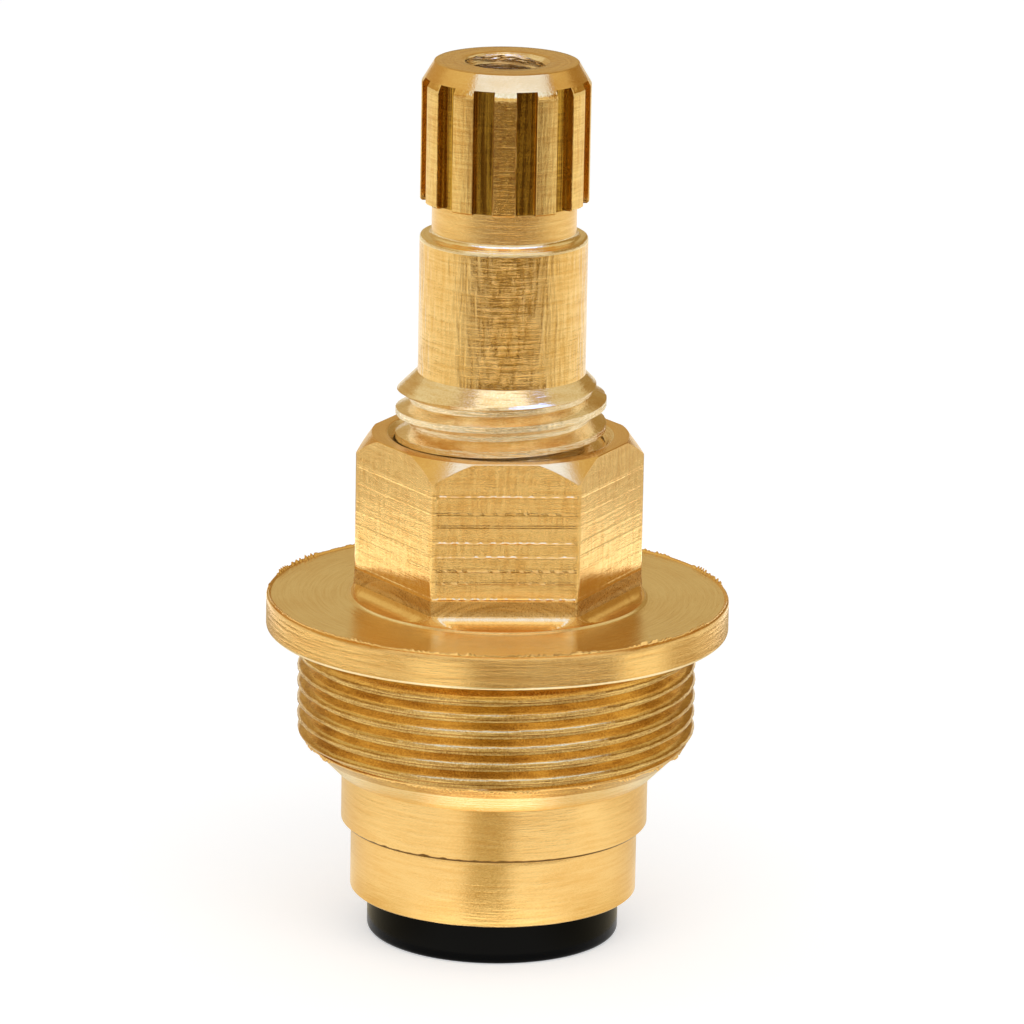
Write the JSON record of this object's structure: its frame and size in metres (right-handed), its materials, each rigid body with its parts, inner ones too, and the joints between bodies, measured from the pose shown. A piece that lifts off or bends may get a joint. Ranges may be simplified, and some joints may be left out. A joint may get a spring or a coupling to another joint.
{
  "type": "compression tap cartridge",
  "caption": "Brass compression tap cartridge: splined rising spindle with lead thread in a hexagon bonnet with flange and body thread, jumper valve with rubber seat washer.",
  "frame": {"origin": "on the axis, at the face of the rubber seat washer that the cartridge stands on", "axes": "+Z along the axis from the seat washer to the splined head, -Y towards one flat of the hexagon"},
  "size_m": [0.0278, 0.0278, 0.0536],
  "materials": {
    "bonnet_brass": "machined, fine turning lines, clean flats",
    "spindle_brass": "turned, with faint chatter",
    "jumper_brass": "turned, satin",
    "screw_brass": "turned",
    "washer_rubber": "moulded, satin black",
    "ring_rubber": "moulded black",
    "thrust_fibre": "pressed red fibre",
    "clip_steel": "drawn spring wire"
  },
  "bodies": {
    "bonnet": {"bonnet": "bonnet_brass"},
    "jumper": {"jumper_valve": "jumper_brass", "thrust_washer": "thrust_fibre", "stem_clip": "clip_steel", "seat_washer": "washer_rubber", "screw_washer": "screw_brass", "washer_screw": "screw_brass"},
    "spindle": {"spindle": "spindle_brass", "upper_o_ring": "ring_rubber", "lower_o_ring": "ring_rubber"}
  },
  "joints": [
    {"name": "valve_lift", "type": "slide", "parent": "bonnet", "child": "jumper", "axis": [0, 0, 1], "range_m": [-0.00375, 0]},
    {"name": "spindle_turn", "type": "hinge", "parent": "jumper", "child": "spindle", "pos_m": [0, 0, 0.03], "axis": [0, 0, 1], "range_deg": [-900, 0]}
  ],
  "couplings": [
    {"joint": "spindle_turn", "follows": "valve_lift", "rad_per_m": 4188.8}
  ]
}
